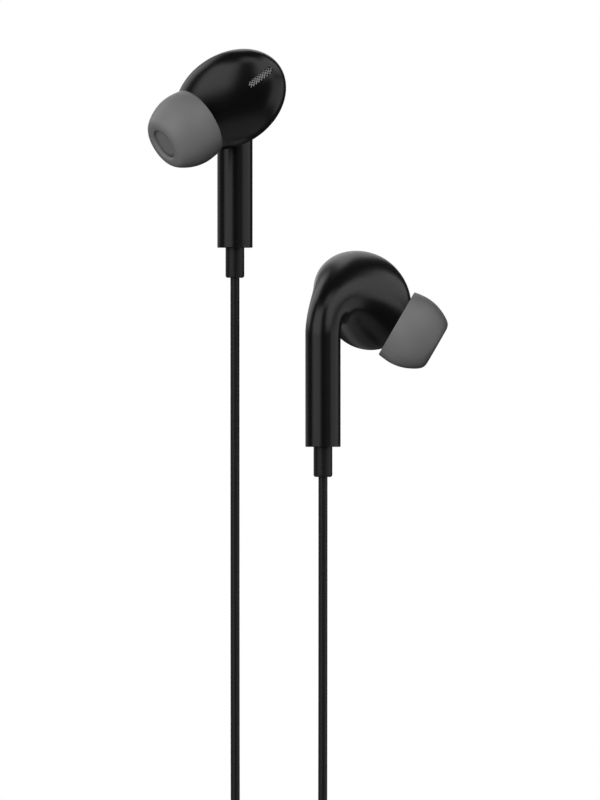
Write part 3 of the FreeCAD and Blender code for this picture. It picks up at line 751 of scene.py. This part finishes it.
@dataclass
class Harness:
    """The two branches, their coils, the splitter's leads, the main lead and its plug."""

    branch_d: float = 1.55
    main_d: float = 1.9
    # The real lengths of a branch and of the main lead, in metres
    branch_length: float = 0.357
    main_length: float = 0.849
    # A branch's straight run into its coil, in diameters, and the coil itself
    lead_in: float = 4.0
    coil_level: float = -128.5
    branch_step: float = 2.35
    branch_layers: tuple[int, ...] = (5, 4)
    branch_out: dict[str, float] = field(default_factory=lambda: {"left": 10.9, "right": 11.95})
    # The run from there to the splitter
    splitter_pitch: float = 2.3
    straight_share: float = 0.3
    # The main lead's coil
    main_level: float = -162.0
    main_out: float = 14.6
    main_step: float = 2.75
    main_layers: tuple[int, ...] = (6, 6, 6, 5)
    # How far a cord goes into a fitting, and the bend in degrees that keeps a fitting's edge crisp
    sunk: float = 2.0
    fitting_edge: float = 30.0

    def branch(self, side: str) -> bpy.types.Object:
        """Makes the cord from one bud to the splitter.

        Args:
            side: Which bud.

        Returns:
            The cord, its put-away length and its end inside the stem included.
        """
        sign = 1 if side == "left" else -1
        head, exit_at = head_of(side + "_cable_end"), foot_of(side + "_strain_relief")
        out = self.branch_out[side]
        centre = Vector((exit_at.x - sign * out * MM, exit_at.y, self.coil_level * MM))
        coil = Winding(centre, out, self.branch_step, self.branch_layers, sign)
        entry = centre + Vector((sign * out, 0, self.lead_in * self.branch_d)) * MM
        leave = coil.end() - Vector((0, 0, self.branch_d)) * MM
        top = head_of("y_splitter")
        low = Vector((top.x - sign * self.splitter_pitch / 2 * MM, leave.y, top.z))
        straight = Vector((0, 0, (leave.z - low.z) * self.straight_share))
        route = [head, entry, *coil.points(), coil.end(), leave, leave - straight,
                 low + straight, low, low - Vector((0, 0, self.sunk * MM))]
        cord = Cord(side + "_branch", self.branch_d, route)
        piece = cord.build((side + "_branch_cord", side + "_branch_coil",
                            side + "_splitter_lead", side + "_cable_end"))
        return piece

    def main_lead(self, plug_pieces: list[bpy.types.Object]) -> bpy.types.Object:
        """Makes the cord from the splitter to the plug.

        Args:
            plug_pieces: The plug, the splitter and the band; not used.

        Returns:
            The cord.
        """
        start = foot_of("y_splitter")
        centre = Vector((start.x + self.main_out * MM, start.y, self.main_level * MM))
        coil = Winding(centre, self.main_out, self.main_step, self.main_layers, -1)
        end = head_of("plug_strain_relief")
        leave = coil.end() - Vector((0, 0, self.main_d)) * MM
        sink = Vector((0, 0, self.sunk * MM))
        route = [start + sink, start, *coil.points(), coil.end(), leave, end, end - sink]
        cord = Cord("main_lead", self.main_d, route)
        piece = cord.build(("main_cord", "main_coil", "plug_lead"))
        return piece

    def build(self) -> list[bpy.types.Object]:
        """Makes the cords and dresses the splitter, the band and the plug.

        Returns:
            All of them.
        """
        made = [self.branch(side) for side in SIDES]
        fittings = []
        for node, finish in PLUG_FINISHES.items():
            fittings.append(smooth_copy(node, node + "_finished", finish, self.fitting_edge))
        made.append(self.main_lead(fittings))
        return made + fittings


@dataclass
class Leads:
    """The two thin wires from the cable's end to the terminal board."""

    side: str

    def build(self) -> bpy.types.Object:
        """A smooth copy in the wires' own enamel."""
        return smooth_copy(self.side + "_leads", self.side + "_wires", ENAMEL)


@dataclass(frozen=True)
class Panel:
    """A soft-edged bright panel of the studio, as angles seen from the buds.

    Azimuth runs from the camera's side to the right, elevation up, in degrees.
    """

    azimuth: tuple[float, float]
    elevation: tuple[float, float]
    light: float
    side_edge: float = 14.0
    low_edge: float = 14.0
    high_edge: float = 12.0

    def build(self, tree: bpy.types.NodeTree, azimuth: bpy.types.NodeSocket,
              elevation: bpy.types.NodeSocket) -> bpy.types.NodeSocket:
        """Draws the panel's light in each direction.

        Args:
            tree: The world's node tree.
            azimuth: The direction's azimuth, in radians.
            elevation: Its elevation.

        Returns:
            The light there.
        """
        lit = add_node(tree, "ShaderNodeValue").outputs[0]
        lit.default_value = self.light
        (left, right), (low, high) = self.azimuth, self.elevation
        for angle, start, end in ((azimuth, left - self.side_edge, left),
                                  (azimuth, right + self.side_edge, right),
                                  (elevation, low - self.low_edge, low),
                                  (elevation, high + self.high_edge, high)):
            fade = add_node(tree, "ShaderNodeMapRange", {"interpolation_type": "SMOOTHSTEP"},
                            {"From Min": math.radians(start), "From Max": math.radians(end)},
                            {"Value": angle})
            lit = add_node(tree, "ShaderNodeMath", {"operation": "MULTIPLY"},
                           links={0: lit, 1: fade.outputs["Result"]}).outputs[0]
        return lit


# The studio's panels: left of the camera, right of it in three, behind in two, on the left
# in three, overhead in front and the pale floor
PANELS = (Panel((-66.0, -22.0), (8.0, 44.0), 1.12, side_edge=12.0, low_edge=26.0),
          Panel((48.0, 118.0), (38.0, 58.0), 1.05, side_edge=10.0, low_edge=36.0),
          Panel((56.0, 112.0), (-30.0, 4.0), 0.65, side_edge=9.0),
          Panel((22.0, 50.0), (16.0, 52.0), 1.1, side_edge=13.0),
          Panel((-215.0, -168.0), (-5.0, 54.0), 0.9, side_edge=9.0, low_edge=10.0),
          Panel((172.0, 230.0), (5.0, 42.0), 0.8, side_edge=12.0),
          Panel((-145.0, -106.0), (12.0, 44.0), 1.1, side_edge=12.0, low_edge=10.0),
          Panel((-170.0, -122.0), (-8.0, 8.0), 0.3, side_edge=10.0, low_edge=8.0),
          Panel((-160.0, -125.0), (-48.0, -40.0), 0.5, low_edge=10.0, high_edge=8.0),
          Panel((-15.0, 32.0), (56.0, 66.0), 0.9, side_edge=10.0, low_edge=10.0),
          Panel((-230.0, 230.0), (-95.0, -58.0), 0.28, high_edge=18.0))


@dataclass(frozen=True)
class Lamp:
    """A far soft lamp that lights the matt surfaces and isn't seen in the glossy ones."""

    azimuth: float
    elevation: float
    light: float
    spread: float = 50.0

    def build(self) -> None:
        """Adds the lamp, shining towards the buds from its angles."""
        data = bpy.data.lights.new("soft lamp", "SUN")
        data.energy = self.light * math.pi
        data.angle = math.radians(self.spread)
        turn, tilt = math.radians(self.azimuth), math.radians(self.elevation)
        source = Vector((math.sin(turn) * math.cos(tilt), -math.cos(turn) * math.cos(tilt),
                         math.sin(tilt)))
        lamp = link("soft lamp", data)
        lamp.rotation_euler = source.to_track_quat("Z", "Y").to_euler()
        lamp.visible_glossy = False


# A key lamp beside the camera, and weak ones from the sides, behind, above and below
LAMPS = (Lamp(-20.0, 6.0, 0.62), Lamp(100.0, 20.0, 0.14), Lamp(-110.0, 25.0, 0.16),
         Lamp(180.0, 20.0, 0.5), Lamp(0.0, 80.0, 0.12), Lamp(0.0, -70.0, 0.05))


@dataclass
class Studio:
    """Camera, lamps, floor and white surroundings."""

    # The photograph's middle, from the foot of the left bud
    right_of_left_bud: float = 11.03
    under_left_bud: float = 20.71
    # The view and the floor, in metres, and the camera's sensor
    view_height: float = 0.1356
    distance: float = 2.4
    far_limit: float = 20.0
    sensor: float = 36.0
    floor_drop: float = 0.012
    floor_r: float = 0.6
    floor_steps: int = 64
    floor_colour: str = "F2F2F2"
    floor_roughness: float = 0.9
    room_light: float = 0.04

    def __post_init__(self) -> None:
        """Finds the photograph's middle from the foot of the left bud."""
        beside = Vector((self.right_of_left_bud, 0.0, -self.under_left_bud))
        self.centre = foot_of("left_strain_relief") + beside * MM

    def camera(self) -> None:
        """A long lens in front of the buds, at the photograph's frame."""
        data = bpy.data.cameras.new("camera")
        data.sensor_fit = "VERTICAL"
        data.sensor_height = self.sensor
        data.lens = self.sensor * self.distance / self.view_height
        data.clip_end = self.far_limit
        holder = link("camera", data)
        holder.location = self.centre - Vector((0, self.distance, 0))
        holder.rotation_euler = (math.radians(90), 0, 0)
        bpy.context.scene.camera = holder

    def surroundings(self) -> None:
        """White to the camera; to everything else a dim room with bright soft panels."""
        world = bpy.data.worlds.new("studio")
        bpy.context.scene.world = world
        world.cycles_visibility.diffuse = False
        world.use_nodes = True
        tree = world.node_tree
        tree.nodes.clear()
        way = add_node(tree, "ShaderNodeTexCoord")
        split = add_node(tree, "ShaderNodeSeparateXYZ", links={"Vector": way.outputs["Generated"]})
        x, y, z = (split.outputs[axis] for axis in "XYZ")
        front = add_node(tree, "ShaderNodeMath", {"operation": "MULTIPLY"}, {1: -1.0}, {0: y})
        azimuth = add_node(tree, "ShaderNodeMath", {"operation": "ARCTAN2"},
                           links={0: x, 1: front.outputs[0]})
        elevation = add_node(tree, "ShaderNodeMath", {"operation": "ARCSINE"}, links={0: z})
        total = add_node(tree, "ShaderNodeValue").outputs[0]
        total.default_value = self.room_light
        for panel in PANELS:
            lit = panel.build(tree, azimuth.outputs[0], elevation.outputs[0])
            total = add_node(tree, "ShaderNodeMath", {"operation": "MAXIMUM"},
                             links={0: total, 1: lit}).outputs[0]
        room = add_node(tree, "ShaderNodeBackground", links={"Strength": total})
        white = add_node(tree, "ShaderNodeBackground", values={"Strength": 1.0})
        for shade in (room, white):
            shade.inputs["Color"].default_value = (1.0, 1.0, 1.0, 1.0)
        ray = add_node(tree, "ShaderNodeLightPath")
        seen = add_node(tree, "ShaderNodeMixShader",
                        links={0: ray.outputs["Is Camera Ray"], 1: room.outputs[0],
                               2: white.outputs[0]})
        add_node(tree, "ShaderNodeOutputWorld", links={"Surface": seen.outputs[0]})

    def floor(self) -> None:
        """A plain pale floor under the plug."""
        level = CAD_BOX[0][2] - self.floor_drop
        shape = bmesh.new()
        bmesh.ops.create_circle(shape, cap_ends=True, segments=self.floor_steps,
                                radius=self.floor_r)
        bmesh.ops.translate(shape, vec=(self.centre.x, self.centre.y, level), verts=shape.verts)
        mesh = bpy.data.meshes.new("floor")
        shape.to_mesh(mesh)
        shape.free()
        piece = link("floor", mesh)
        material = bpy.data.materials.new("Matt white floor")
        material.use_nodes = True
        shader = material.node_tree.nodes["Principled BSDF"]
        shader.inputs["Base Color"].default_value = linear(self.floor_colour)
        shader.inputs["Roughness"].default_value = self.floor_roughness
        mesh.materials.append(material)
        # The earphones hang, so the floor neither lights them nor shows in them
        piece.visible_diffuse = piece.visible_glossy = False

    def build(self) -> None:
        """Sets the whole studio up."""
        bpy.context.scene.view_settings.view_transform = "Standard"
        self.camera()
        self.surroundings()
        for lamp in LAMPS:
            lamp.build()
        self.floor()


def main() -> None:
    """Builds the studio and the earphones in order and reports each piece."""
    logging.basicConfig(level=logging.INFO, format="%(name)s %(message)s")
    Studio().build()
    made = Harness().build()
    for side in SIDES:
        made += Shell(side).build()
        made += EarTip(side).build()
        made += [Screen(side).build(), Leads(side).build()]
        made += Inside(side).build()
    for piece in made:
        LOG.info("%s, %s", piece.name, piece.data.materials[0].name)


if __name__ == "__main__":
    main()
